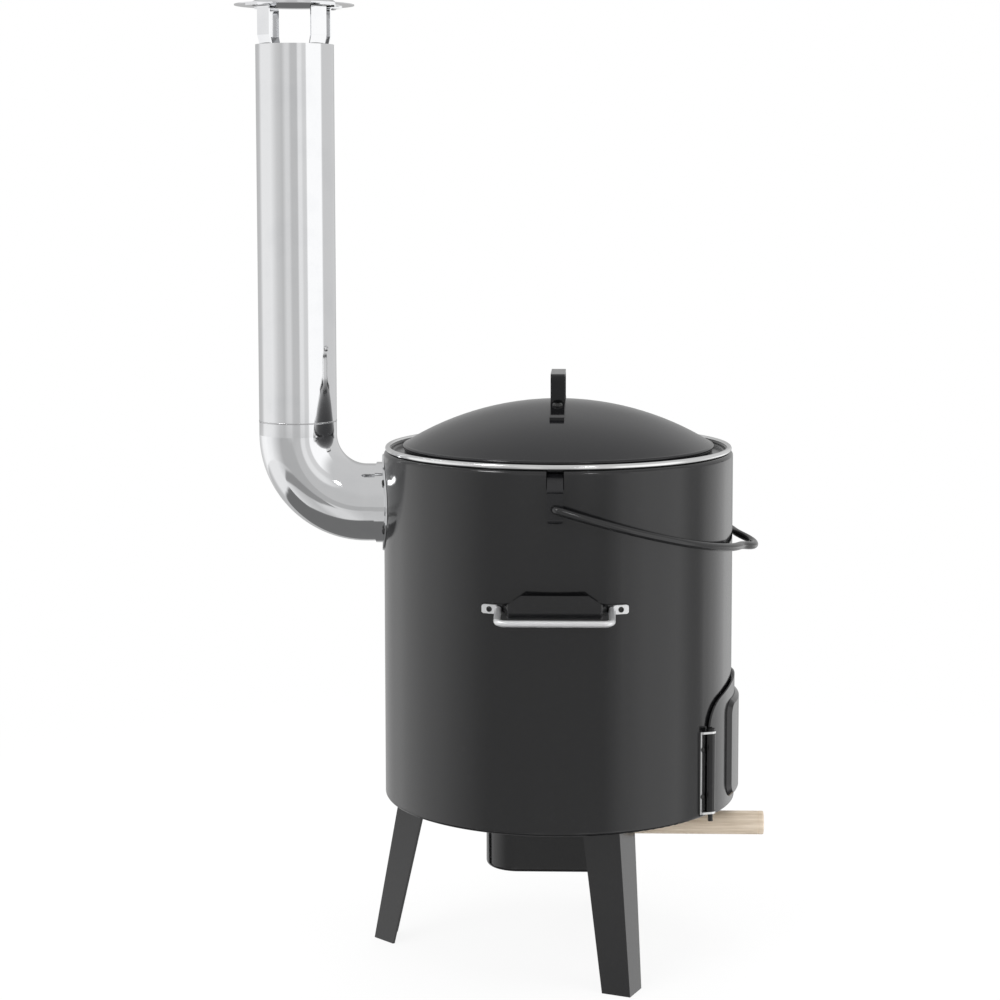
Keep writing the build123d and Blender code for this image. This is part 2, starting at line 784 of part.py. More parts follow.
# Lid handle: a flat strap bent to an arch, with two feet that follow the dome
lid_top_z = dome_centre_z + dome_r
arch_z = lid_top_z + lid_handle_top
arch_foot_z = dome_centre_z + sqrt(strap_in_dome_r**2 - (lid_handle_span / 2) ** 2)
with BuildPart() as lid_handle:
    with BuildSketch(Plane.YZ):
        with Locations((0, dome_centre_z)):
            Circle(strap_out_dome_r)
        with Locations((0, (arch_foot_z + arch_z) / 2)):
            Rectangle(lid_handle_span, arch_z - arch_foot_z)
        with Locations((0, arch_z)):
            Rectangle(2 * lid_handle_foot, 2 * lid_rise, mode=Mode.INTERSECT)
        corners = vertices().group_by(Axis.Y)[-1]
        fillet(corners, lid_handle_bend + lid_handle_wall)
        with Locations((0, dome_centre_z)):
            Circle(strap_in_dome_r, mode=Mode.SUBTRACT)
        inner_span = lid_handle_span - 2 * lid_handle_wall
        inner_top = arch_z - lid_handle_wall
        with BuildLine():
            FilletPolyline(
                (-inner_span / 2, arch_foot_z - lid_rise),
                (-inner_span / 2, inner_top),
                (inner_span / 2, inner_top),
                (inner_span / 2, arch_foot_z - lid_rise),
                radius=lid_handle_bend,
            )
            Line((inner_span / 2, arch_foot_z - lid_rise), (-inner_span / 2, arch_foot_z - lid_rise))
        make_face(mode=Mode.SUBTRACT)
    extrude(amount=lid_handle_width / 2, both=True)
    for side in (-1, 1):
        with BuildSketch(lid_screw_plane(side, dome_r)):
            Circle(lid_screw_r + fit_gap)
        extrude(amount=overrun, both=True, mode=Mode.SUBTRACT)
save(lid_handle.part, "lid_handle")

with BuildPart() as lid_handle_screws:
    for side in (-1, 1):
        with BuildSketch(lid_screw_plane(side, strap_out_dome_r)):
            Circle(lid_screw_head_r)
        extrude(amount=lid_screw_head)
        with BuildSketch(lid_screw_plane(side, strap_out_dome_r)):
            Circle(lid_screw_r)
        extrude(amount=-(lid_handle_wall + seat_gap + lid_wall + lid_nut_height + lid_screw_r))
save(lid_handle_screws.part, "lid_handle_screws")

with BuildPart() as lid_handle_nuts:
    for side in (-1, 1):
        with BuildSketch(lid_screw_plane(side, dome_r - lid_wall - seat_gap)):
            RegularPolygon(hex_r(lid_nut_across), 6)
            Circle(lid_screw_r + fit_gap, mode=Mode.SUBTRACT)
        extrude(amount=-lid_nut_height)
save(lid_handle_nuts.part, "lid_handle_nuts")

# Flue elbow: through the drum wall, a quarter bend, and a spigot that the pipe slips over
flue_in_r = flue_r - flue_wall
spigot_r = flue_in_r - fit_gap
elbow_start_x = -(drum_r - flue_inlet)
elbow_bend_x = -(drum_r + flue_stub)
with BuildPart() as flue_elbow:
    with BuildLine(Plane.XZ) as elbow_path:
        inlet = Line((elbow_start_x, flue_z), (elbow_bend_x, flue_z))
        bend = JernArc(inlet @ 1, (-1, 0), flue_bend_r, -quarter_turn)
        Line(bend @ 1, (flue_x, flue_joint_z))
    with BuildSketch(Plane(origin=(elbow_start_x, 0, flue_z), x_dir=(0, 1, 0), z_dir=(-1, 0, 0))):
        Circle(flue_r)
        Circle(flue_in_r, mode=Mode.SUBTRACT)
    sweep(path=elbow_path.wire())
    with BuildSketch(Plane(origin=(flue_x, 0, flue_joint_z), z_dir=(0, 0, 1))):
        Circle(flue_r)
        Circle(spigot_r - flue_wall, mode=Mode.SUBTRACT)
    extrude(amount=-2 * flue_wall)
    with BuildSketch(Plane(origin=(flue_x, 0, flue_joint_z), z_dir=(0, 0, 1))):
        Circle(spigot_r)
        Circle(spigot_r - flue_wall, mode=Mode.SUBTRACT)
    extrude(amount=flue_spigot)
save(flue_elbow.part, "flue_elbow")

# Collar: a round plate curved to the drum, with a short sleeve round the elbow
sleeve_in_r = flue_r + seat_gap
sleeve_out_r = sleeve_in_r + collar_sleeve_wall
with BuildPart() as flue_collar:
    with BuildSketch(Plane.XY.offset(flue_z - collar_r)):
        Circle(collar_in_r + collar_wall)
    extrude(amount=2 * collar_r)
    with BuildSketch(Plane.YZ.offset(-drum_r / 2)):
        with Locations((0, flue_z)):
            Circle(collar_r)
    extrude(amount=-drum_r, mode=Mode.INTERSECT)
    with BuildSketch(Plane.YZ.offset(-(drum_r + collar_sleeve))):
        with Locations((0, flue_z)):
            Circle(sleeve_out_r)
    extrude(amount=2 * collar_sleeve)
    with BuildSketch(Plane.XY.offset(flue_z - 2 * collar_r)):
        Circle(collar_in_r)
    extrude(amount=4 * collar_r, mode=Mode.SUBTRACT)
    with BuildSketch(Plane.YZ):
        with Locations((0, flue_z)):
            Circle(sleeve_in_r)
    extrude(amount=-2 * drum_r, mode=Mode.SUBTRACT)
    for angle, z in collar_screw_places:
        with BuildSketch(wall_plane(angle, z, drum_r)):
            Circle(collar_screw_r + fit_gap)
        extrude(amount=overrun, both=True, mode=Mode.SUBTRACT)
save(flue_collar.part, "flue_collar")

with BuildPart() as collar_screws:
    for angle, z in collar_screw_places:
        head_plane = wall_plane(angle, z, collar_in_r + collar_wall)
        with BuildSketch(head_plane):
            Circle(collar_screw_head_r)
        extrude(amount=collar_screw_head)
        with BuildSketch(head_plane):
            Circle(collar_screw_r)
        extrude(amount=-(collar_wall + seat_gap + drum_wall + collar_screw_end))
save(collar_screws.part, "collar_screws")

# Flue pipe: slips over the spigot and stands on the elbow's shoulder
pipe_base_z = flue_joint_z + seat_gap
pipe_rivet_z = flue_joint_z + pipe_rivet_lift
pipe_rivet_out = Vector(cos(radians(pipe_rivet_angle)), sin(radians(pipe_rivet_angle)), 0)


def pipe_rivet_plane(radius):
    """A plane that faces out of the pipe where its seam rivet sits."""
    return Plane(origin=Vector(flue_x, 0, pipe_rivet_z) + pipe_rivet_out * radius, z_dir=pipe_rivet_out)


with BuildPart() as flue_pipe:
    with BuildSketch(Plane(origin=(flue_x, 0, pipe_base_z), z_dir=(0, 0, 1))):
        Circle(flue_r)
        Circle(flue_in_r, mode=Mode.SUBTRACT)
    extrude(amount=flue_top_z - pipe_base_z)
    with BuildSketch(pipe_rivet_plane(flue_r)):
        Circle(pipe_rivet_r + fit_gap)
    extrude(amount=2 * flue_wall, both=True, mode=Mode.SUBTRACT)
save(flue_pipe.part, "flue_pipe")

with BuildPart() as flue_pipe_rivet:
    with BuildSketch(pipe_rivet_plane(flue_r + fit_gap)):
        Circle(pipe_rivet_head_r)
    extrude(amount=pipe_rivet_head)
    with BuildSketch(pipe_rivet_plane(flue_in_r - seat_gap)):
        Circle(pipe_rivet_head_r)
    extrude(amount=-pipe_rivet_head)
    with BuildSketch(pipe_rivet_plane(flue_in_r - seat_gap - pipe_rivet_head)):
        Circle(pipe_rivet_r)
    extrude(amount=flue_wall + seat_gap + 2 * pipe_rivet_head)
save(flue_pipe_rivet.part, "flue_pipe_rivet")

# Rain cap: a spun crown on a flat brim
brim_z = flue_top_z + cap_lift
strap_tip_out = sqrt((flue_in_r - seat_gap) ** 2 - (strap_width / 2) ** 2)
strap_tip_in = strap_tip_out - strap_wall
strap_face_in = flue_r - strap_wall
cap_rivet_ring_r = strap_face_in + strap_tab - cap_rivet_inset
strap_angles = [45, 135, 225, 315]
with BuildPart() as chimney_cap:
    with BuildSketch(Plane(origin=(flue_x, 0, 0), x_dir=(1, 0, 0), z_dir=(0, -1, 0))):
        with BuildLine():
            FilletPolyline(
                (0, brim_z + cap_crown_rise),
                (cap_tip_r, brim_z + cap_crown_rise),
                (cap_shoulder_r, brim_z + cap_shoulder_rise),
                (cap_crown_r, brim_z),
                (cap_brim_r, brim_z),
                radius=[cap_round, cap_round, cap_wall + strap_bend],
            )
            offset(amount=cap_wall, side=Side.LEFT)
        make_face()
    revolve(axis=Axis((flue_x, 0, 0), (0, 0, 1)))
    with BuildSketch(Plane(origin=(flue_x, 0, brim_z), z_dir=(0, 0, 1))):
        with PolarLocations(cap_rivet_ring_r, 4, start_angle=strap_angles[0]):
            Circle(cap_rivet_r + fit_gap)
    extrude(amount=overrun, both=True, mode=Mode.SUBTRACT)
save(chimney_cap.part, "chimney_cap")

# Straps: a tab under the brim, a straight run down, and a kink into the pipe
for index, angle in enumerate(strap_angles):
    out = Vector(cos(radians(angle)), sin(radians(angle)), 0)
    strap_plane = Plane(origin=(flue_x, 0, 0), x_dir=out, z_dir=out.cross(Vector(0, 0, 1)))
    with BuildPart() as cap_strap:
        with BuildSketch(strap_plane):
            with BuildLine():
                FilletPolyline(
                    (strap_face_in + strap_tab, brim_z),
                    (strap_face_in, brim_z),
                    (strap_face_in, flue_top_z + strap_kink),
                    (strap_tip_in, flue_top_z),
                    (strap_tip_in, flue_top_z - strap_insert),
                    radius=[strap_wall + strap_bend, strap_bend, strap_wall + strap_bend],
                )
                offset(amount=strap_wall, side=Side.LEFT)
            make_face()
        extrude(amount=strap_width / 2, both=True)
        with BuildSketch(Plane(origin=(flue_x, 0, brim_z), z_dir=(0, 0, 1))):
            with PolarLocations(cap_rivet_ring_r, 1, start_angle=angle):
                Circle(cap_rivet_r + fit_gap)
        extrude(amount=-2 * strap_wall, mode=Mode.SUBTRACT)
    save(cap_strap.part, "cap_strap_" + str(index + 1))

with BuildPart() as cap_rivets:
    for base_z, height, radius in (
        (brim_z + cap_wall, cap_rivet_head, cap_rivet_head_r),
        (brim_z - strap_wall, -cap_rivet_head, cap_rivet_head_r),
        (brim_z - strap_wall - cap_rivet_head, strap_wall + cap_wall + 2 * cap_rivet_head, cap_rivet_r),
    ):
        with BuildSketch(Plane(origin=(flue_x, 0, base_z), z_dir=(0, 0, 1))):
            with PolarLocations(cap_rivet_ring_r, 4, start_angle=strap_angles[0]):
                Circle(radius)
        extrude(amount=height)
save(cap_rivets.part, "cap_rivets")

# Side handles: a chrome rod with a flattened tab at each end
handle_tilt = atan2(handle_sag, handle_reach)
tab_mid_r = tab_in + handle_tab_wall / 2
handle_root_y = (tab_mid_r - handle_span / 2 * sin(radians(tab_angle))) / cos(radians(tab_angle))
handle_plane = Plane(
    origin=(0, -handle_root_y, handle_z),
    x_dir=(1, 0, 0),
    z_dir=(0, sin(handle_tilt), -cos(handle_tilt)),
)
with BuildPart() as side_handle_near:
    with BuildLine(handle_plane) as handle_path:
        FilletPolyline(
            (-handle_span / 2, 0),
            (-handle_span / 2, handle_reach),
            (handle_span / 2, handle_reach),
            (handle_span / 2, 0),
            radius=handle_round,
        )
    with BuildSketch(Plane(origin=handle_path.wire() @ 0, z_dir=handle_path.wire() % 0)):
        Circle(handle_rod_r)
    sweep(path=handle_path.wire())
    for angle in tab_angles[:2]:
        with BuildSketch(wall_plane(angle, handle_z, tab_in)):
            RectangleRounded(handle_tab_width, handle_tab_height, handle_tab_round)
        extrude(amount=handle_tab_wall)
    for angle in tab_angles[:2]:
        with BuildSketch(wall_plane(angle, handle_z, tab_in)):
            Circle(handle_screw_r + fit_gap)
        extrude(amount=overrun, both=True, mode=Mode.SUBTRACT)
save(side_handle_near.part, "side_handle_near")

with BuildPart() as side_handle_far:
    mirror(side_handle_near.part, about=Plane.XZ)
save(side_handle_far.part, "side_handle_far")

# Plates behind the handles: a raised middle between two wings under the handle's tabs
wing_out = Vector(sin(radians(tab_angle)), -cos(radians(tab_angle)), 0)
wing_in = Vector(-cos(radians(tab_angle)), -sin(radians(tab_angle)), 0)
wing_end = wing_out * shield_in - wing_in * (handle_tab_width / 2)
wing_root = wing_out * shield_in + wing_in * (handle_tab_width / 2 + shield_wing)
shield_face_y = -(drum_r + shield_stand)
wing_half_height = handle_tab_height / 2 + seat_gap
shield_low_z = handle_z - wing_half_height - shield_skirt
with BuildPart() as handle_shield_near:
    with BuildSketch(Plane.XY.offset(shield_low_z)):
        with BuildLine():
            FilletPolyline(
                (wing_end.X, wing_end.Y),
                (wing_root.X, wing_root.Y),
                (shield_half_width, shield_face_y),
                (-shield_half_width, shield_face_y),
                (-wing_root.X, wing_root.Y),
                (-wing_end.X, wing_end.Y),
                radius=[shield_wall + shield_bend, shield_bend, shield_bend, shield_wall + shield_bend],
            )
            offset(amount=shield_wall, side=Side.LEFT)
        make_face()
    extrude(amount=handle_z + shield_rise - shield_low_z)
    with BuildSketch(Plane.XZ):
        with BuildLine():
            far = drum_r / 2
            shoulder = shield_half_width + shield_bend
            Polyline(
                (-far, handle_z - wing_half_height),
                (-shoulder, handle_z - wing_half_height),
                (-shield_half_width, shield_low_z),
                (shield_half_width, shield_low_z),
                (shoulder, handle_z - wing_half_height),
                (far, handle_z - wing_half_height),
                (far, handle_z + wing_half_height),
                (shoulder, handle_z + wing_half_height),
                (shoulder, handle_z + shield_shoulder),
                (shield_top_half_width, handle_z + shield_rise),
                (-shield_top_half_width, handle_z + shield_rise),
                (-shoulder, handle_z + shield_shoulder),
                (-shoulder, handle_z + wing_half_height),
                (-far, handle_z + wing_half_height),
                close=True,
            )
        make_face()
    extrude(amount=2 * drum_r, mode=Mode.INTERSECT)
    for angle in tab_angles[:2]:
        with BuildSketch(wall_plane(angle, handle_z, drum_r)):
            Circle(handle_screw_r + fit_gap)
        extrude(amount=overrun, both=True, mode=Mode.SUBTRACT)
save(handle_shield_near.part, "handle_shield_near")

with BuildPart() as handle_shield_far:
    mirror(handle_shield_near.part, about=Plane.XZ)
save(handle_shield_far.part, "handle_shield_far")

with BuildPart() as handle_screws:
    for angle in tab_angles:
        head_plane = wall_plane(angle, handle_z, tab_out)
        with BuildSketch(head_plane):
            Circle(handle_screw_head_r)
        extrude(amount=handle_screw_head)
        with BuildSketch(head_plane):
            Circle(handle_screw_r)
        extrude(amount=-(tab_out - drum_in_r + 2 * seat_gap + handle_nut_height))
save(handle_screws.part, "handle_screws")

with BuildPart() as handle_nuts:
    for angle in tab_angles:
        with BuildSketch(wall_plane(angle, handle_z, drum_in_r - seat_gap)):
            RegularPolygon(hex_r(handle_nut_across), 6)
            Circle(handle_screw_r + fit_gap, mode=Mode.SUBTRACT)
        extrude(amount=-handle_nut_height)
save(handle_nuts.part, "handle_nuts")

# Fire door: a curved plate with a raised panel, and a knuckle along its hinge side
door_low_z = drum_base + door_base
door_top_z = door_low_z + door_height
door_side_z = door_top_z - door_arch_r + sqrt(door_arch_r**2 - (door_width / 2) ** 2)
latch_y = door_width / 2 - latch_edge
latch_angle = degrees(asin(latch_y / door_out_r))
latch_z = door_low_z + latch_height


def panel_form(shrink):
    """The raised panel's solid form; shrink gives the hollow on its back."""
    with BuildPart() as form:
        with BuildSketch(Plane.XY.offset(drum_base)):
            Circle(door_out_r + panel_proud - shrink)
            Circle(drum_r, mode=Mode.SUBTRACT)
        extrude(amount=door_height)
        with BuildSketch(Plane.YZ):
            with Locations((0, drum_base + panel_base + panel_height / 2)):
                RectangleRounded(
                    2 * (panel_half_width - shrink),
                    panel_height - 2 * shrink,
                    panel_round - shrink,
                )
        extrude(amount=2 * drum_r, mode=Mode.INTERSECT)
        chamfer(faces().sort_by(Axis.X)[-1].edges(), panel_slope)
    return form.part


panel_outside = panel_form(0)
panel_inside = panel_form(door_wall)
with BuildPart() as fire_door:
    with BuildSketch(Plane.XY.offset(door_low_z)):
        Circle(door_out_r)
    extrude(amount=door_height)
    with BuildSketch(Plane.YZ):
        with BuildLine():
            half = door_width / 2
            Polyline((-half, door_side_z), (-half, door_low_z), (half, door_low_z), (half, door_side_z))
            ThreePointArc((half, door_side_z), (0, door_top_z), (-half, door_side_z))
        make_face()
        fillet(vertices().group_by(Axis.Y)[-1], door_top_round)
        fillet(vertices().group_by(Axis.Y)[0], door_corner_round)
    extrude(amount=drum_r + overrun, mode=Mode.INTERSECT)
    add(panel_outside)
    with BuildSketch(Plane.XY.offset(drum_base)):
        Circle(door_in_r)
    extrude(amount=drum_height, mode=Mode.SUBTRACT)
    add(panel_inside, mode=Mode.SUBTRACT)
    # Room for the bracket's ears above and below the knuckle
    for relief_z, relief_height in (
        (knuckle_z, -overrun),
        (knuckle_z + knuckle_height, ear_plate + pin_head + ear_room),
    ):
        with BuildSketch(Plane(origin=(hinge_x, hinge_y, relief_z), z_dir=(0, 0, 1))):
            Circle(bracket_ear_r + side_gap)
        extrude(amount=relief_height, mode=Mode.SUBTRACT)
    with BuildSketch(Plane(origin=(hinge_x, hinge_y, knuckle_z), z_dir=(0, 0, 1))):
        Circle(knuckle_r)
    extrude(amount=knuckle_height)
    with BuildSketch(Plane(origin=(hinge_x, hinge_y, knuckle_z), z_dir=(0, 0, 1))):
        Circle(hinge_pin_r + fit_gap)
    extrude(amount=knuckle_height, mode=Mode.SUBTRACT)
    with BuildSketch(wall_plane(latch_angle, latch_z, door_in_r)):
        Circle(latch_shaft_r + fit_gap)
    extrude(amount=overrun, both=True, mode=Mode.SUBTRACT)
save(fire_door.part, "fire_door")

# Hinge bracket: a plate curved to the drum with an ear at each end for the pin
with BuildPart() as hinge_bracket:
    with BuildSketch(Plane.XY.offset(bracket_base_z)):
        Circle(bracket_in_r + bracket_wall)
    extrude(amount=bracket_height)
    with BuildSketch(wall_plane(bracket_mid_angle, bracket_base_z + bracket_height / 2, drum_r)):
        Rectangle(bracket_width, bracket_height)
    extrude(amount=overrun, both=True, mode=Mode.INTERSECT)
    plate_foot = wall_plane(bracket_mid_angle, bracket_base_z, bracket_in_r + bracket_wall).origin
    for ear_z in (bracket_base_z, bracket_base_z + bracket_height - ear_plate):
        with BuildSketch(Plane.XY.offset(ear_z)):
            with Locations((hinge_x, hinge_y)):
                Circle(bracket_ear_r)
            with Locations((plate_foot.X, plate_foot.Y)):
                Circle(bracket_wall)
            make_hull()
        extrude(amount=ear_plate)
    with BuildSketch(Plane.XY.offset(bracket_base_z)):
        Circle(bracket_in_r)
    extrude(amount=bracket_height, mode=Mode.SUBTRACT)
    with BuildSketch(Plane(origin=(hinge_x, hinge_y, bracket_base_z), z_dir=(0, 0, 1))):
        Circle(hinge_pin_r + fit_gap)
    extrude(amount=bracket_height, mode=Mode.SUBTRACT)
    for angle, z in hinge_rivet_places:
        with BuildSketch(wall_plane(angle, z, drum_r)):
            Circle(hinge_rivet_r + fit_gap)
        extrude(amount=overrun, both=True, mode=Mode.SUBTRACT)
save(hinge_bracket.part, "hinge_bracket")

with BuildPart() as hinge_rivets:
    for angle, z in hinge_rivet_places:
        for base_r, height, radius in (
            (bracket_in_r + bracket_wall, hinge_rivet_head, hinge_rivet_head_r),
            (drum_in_r - seat_gap, -hinge_rivet_head, hinge_rivet_head_r),
            (bracket_in_r + bracket_wall, -(bracket_wall + drum_wall + 2 * seat_gap), hinge_rivet_r),
        ):
            with BuildSketch(wall_plane(angle, z, base_r)):
                Circle(radius)
            extrude(amount=height)
save(hinge_rivets.part, "hinge_rivets")

with BuildPart() as hinge_pin:
    with BuildSketch(Plane(origin=(hinge_x, hinge_y, bracket_base_z - pin_tail), z_dir=(0, 0, 1))):
        Circle(hinge_pin_r)
    extrude(amount=pin_tail + bracket_height + seat_gap + pin_head)
    pin_head_z = bracket_base_z + bracket_height + seat_gap
    with BuildSketch(Plane(origin=(hinge_x, hinge_y, pin_head_z), z_dir=(0, 0, 1))):
        Circle(pin_head_r)
    extrude(amount=pin_head)
save(hinge_pin.part, "hinge_pin")

# Door latch: a lever outside, and a tongue that turns behind the drum wall
hub_base_r = door_out_r + seat_gap
tongue_sag = latch_tongue_length**2 / (2 * drum_in_r)
tongue_out_r = drum_in_r - tongue_sag - side_gap
tongue_in_r = tongue_out_r - latch_tongue_wall
with BuildPart() as latch_lever:
    with BuildSketch(wall_plane(latch_angle, latch_z, hub_base_r)):
        Circle(latch_hub_r)
    extrude(amount=latch_hub)
    with BuildSketch(wall_plane(latch_angle, latch_z, hub_base_r + latch_hub - latch_arm_wall)):
        with Locations((0, -latch_arm_length / 2)):
            SlotOverall(latch_arm_length + latch_arm_width, latch_arm_width, rotation=quarter_turn)
    extrude(amount=latch_arm_wall)
    with BuildSketch(wall_plane(latch_angle, latch_z - latch_arm_length, hub_base_r + latch_hub)):
        Circle(latch_arm_width / 2)
    extrude(amount=latch_grip_rise)
    with BuildSketch(wall_plane(latch_angle, latch_z, hub_base_r)):
        Circle(latch_shaft_r)
    extrude(amount=-(hub_base_r - tongue_in_r + latch_nut_height + seat_gap))
save(latch_lever.part, "latch_lever")

with BuildPart() as latch_tongue:
    with BuildSketch(wall_plane(latch_angle, latch_z, tongue_out_r)):
        with Locations((0, (latch_tongue_width / 2 - latch_tongue_length) / 2)):
            Rectangle(latch_tongue_width, latch_tongue_length + latch_tongue_width / 2)
        Circle(latch_shaft_r + fit_gap, mode=Mode.SUBTRACT)
    extrude(amount=-latch_tongue_wall)
save(latch_tongue.part, "latch_tongue")

with BuildPart() as latch_nut:
    with BuildSketch(wall_plane(latch_angle, latch_z, tongue_in_r)):
        RegularPolygon(hex_r(latch_nut_across), 6)
        Circle(latch_shaft_r + fit_gap, mode=Mode.SUBTRACT)
    extrude(amount=-latch_nut_height)
save(latch_nut.part, "latch_nut")
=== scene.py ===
import math

import bmesh
import bpy
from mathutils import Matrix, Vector


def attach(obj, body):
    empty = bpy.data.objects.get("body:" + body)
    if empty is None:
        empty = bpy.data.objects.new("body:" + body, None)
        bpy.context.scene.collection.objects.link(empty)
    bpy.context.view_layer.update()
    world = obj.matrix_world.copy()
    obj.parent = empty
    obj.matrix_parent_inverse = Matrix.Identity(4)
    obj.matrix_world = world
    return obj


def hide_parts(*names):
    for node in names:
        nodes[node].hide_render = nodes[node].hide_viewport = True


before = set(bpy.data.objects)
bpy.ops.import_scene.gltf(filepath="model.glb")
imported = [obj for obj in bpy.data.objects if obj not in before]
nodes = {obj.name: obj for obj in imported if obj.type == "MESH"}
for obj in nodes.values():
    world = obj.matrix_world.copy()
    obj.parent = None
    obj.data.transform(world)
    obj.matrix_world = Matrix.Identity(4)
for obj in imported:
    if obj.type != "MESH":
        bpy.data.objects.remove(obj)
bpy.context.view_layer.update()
print("frame loaded:", len(nodes), "nodes")

mm = 0.001
fluePlace = Vector((-269.5 * mm, 0, 0))  # the pipe's axis
domeCentre = Vector((0, 0, 268.98 * mm))  # where the lid's dome is struck from
up = Vector((0, 0, 1))
weld = 0.001 * mm  # places closer than this are one


# Shader building

def addNode(tree, kind, settings=None, **inputs):  # settings are the node's own, inputs its sockets
    node = tree.nodes.new("ShaderNode" + kind)
    for key, value in (settings or {}).items():
        setattr(node, key, value)
    for key, value in inputs.items():
        numbered = key[0] == "i" and key[1:].isdigit()  # i0 and i1 are sockets by number
        socket = node.inputs[int(key[1:]) if numbered else key.replace("_", " ")]
        if isinstance(value, bpy.types.NodeSocket):
            tree.links.new(value, socket)
        else:
            socket.default_value = value
    return node


def grey(level):
    return (level, level, level, 1)


def addMath(tree, operation, first, second):
    return addNode(tree, "Math", {"operation": operation}, i0=first, i1=second).outputs[0]


def addNoise(tree, place, scale, detail, grain=0.5):
    return addNode(tree, "TexNoise", Vector=place, Scale=scale, Detail=detail, Roughness=grain).outputs["Fac"]


def addRange(tree, value, source=(0, 1), target=(0, 1), kind="LINEAR"):
    node = addNode(tree, "MapRange", {"interpolation_type": kind}, Value=value, From_Min=source[0],
                   From_Max=source[1], To_Min=target[0], To_Max=target[1])
    return node.outputs[0]


def addMix(tree, factor, low, high):  # low and high are a socket or a grey level
    low, high = [shade if isinstance(shade, bpy.types.NodeSocket) else grey(shade) for shade in (low, high)]
    return addNode(tree, "Mix", {"data_type": "RGBA"}, Factor=factor, i6=low, i7=high).outputs[2]


def newGroup(name, inputs, outputs):
    group = bpy.data.node_groups.new(name, "ShaderNodeTree")
    for label, kind, value in inputs:
        socket = group.interface.new_socket(name=label, in_out="INPUT", socket_type="NodeSocket" + kind)
        socket.default_value = value
    for label, kind in outputs:
        group.interface.new_socket(name=label, in_out="OUTPUT", socket_type="NodeSocket" + kind)
    return group, group.nodes.new("NodeGroupInput"), group.nodes.new("NodeGroupOutput")


skinOutputs = [("Color", "Color"), ("Roughness", "Float"), ("Normal", "Vector")]


def closeSkin(group, leave, color, rough, normal):
    group.links.new(color, leave.inputs["Color"])
    group.links.new(rough, leave.inputs["Roughness"])
    group.links.new(normal, leave.inputs["Normal"])
    return group


enamelShape = {"driftScale": 14.0, "driftDetail": 3.0, "speckScale": 420.0, "speckDetail": 4.0,
               "speckEdge": (0.62, 0.78), "peelScale": 260.0, "peelDetail": 2.0, "peelDepth": 0.4 * mm}


def makeEnamelSkin(s):  # fired enamel: faint orange peel, slow gloss drift and a little dust
    group, enter, leave = newGroup("enamelSkin", [
        ("Color", "Color", (0.01, 0.01, 0.01, 1)), ("Dust Color", "Color", (0.1, 0.1, 0.1, 1)),
        ("Gloss Roughness", "Float", 0.12), ("Drift", "Float", 0.04), ("Dust", "Float", 0.3),
        ("Peel", "Float", 0.05)], skinOutputs)
    place = addNode(group, "TexCoord").outputs["Object"]
    specks = addRange(group, addNoise(group, place, s["speckScale"], s["speckDetail"]), s["speckEdge"])
    dusty = addMath(group, "MULTIPLY", specks, enter.outputs["Dust"])
    color = addMix(group, dusty, enter.outputs["Color"], enter.outputs["Dust Color"])
    drift = addNoise(group, place, s["driftScale"], s["driftDetail"])
    swing = addMath(group, "MULTIPLY", drift, enter.outputs["Drift"])
    rough = addMath(group, "ADD", swing, enter.outputs["Gloss Roughness"])
    peel = addNoise(group, place, s["peelScale"], s["peelDetail"])
    bump = addNode(group, "Bump", Strength=enter.outputs["Peel"], Distance=s["peelDepth"], Height=peel)
    return closeSkin(group, leave, color, rough, bump.outputs[0])


sheetShape = {"lineDetail": 3.0, "lineGloss": (-0.02, 0.04), "blotchScale": 22.0, "blotchDetail": 4.0,
              "blotchGrain": 0.6, "blotchEdge": (0.5, 0.85), "waveScale": 16.0, "waveDetail": 1.0,
              "waveDepth": 1.2 * mm}


def makeSheetSkin(s):  # bright sheet steel: fine lines of the rolling, faint waves of hand rolling
    group, enter, leave = newGroup("sheetSkin", [
        ("Color", "Color", (0.8, 0.8, 0.8, 1)), ("Smear Color", "Color", (0.6, 0.6, 0.6, 1)),
        ("Gloss Roughness", "Float", 0.06), ("Smear", "Float", 0.5), ("Wave", "Float", 0.2),
        ("Line Scale", "Vector", (300.0, 300.0, 8.0))], skinOutputs)
    place = addNode(group, "TexCoord").outputs["Object"]
    stretched = addNode(group, "VectorMath", {"operation": "MULTIPLY"}, i0=place,
                        i1=enter.outputs["Line Scale"]).outputs[0]
    blotch = addNoise(group, place, s["blotchScale"], s["blotchDetail"], s["blotchGrain"])
    smear = addMath(group, "MULTIPLY", addRange(group, blotch, s["blotchEdge"]), enter.outputs["Smear"])
    color = addMix(group, smear, enter.outputs["Color"], enter.outputs["Smear Color"])
    lines = addNoise(group, stretched, 1.0, s["lineDetail"])
    lineGloss = addRange(group, lines, target=s["lineGloss"])
    rough = addMath(group, "ADD", lineGloss, enter.outputs["Gloss Roughness"])
    wave = addNoise(group, place, s["waveScale"], s["waveDetail"])
    bump = addNode(group, "Bump", Strength=enter.outputs["Wave"], Distance=s["waveDepth"], Height=wave)
    return closeSkin(group, leave, color, rough, bump.outputs[0])


grainShape = {"detail": 6.0, "grain": 0.62, "edge": (0.32, 0.68), "depth": 0.6 * mm}


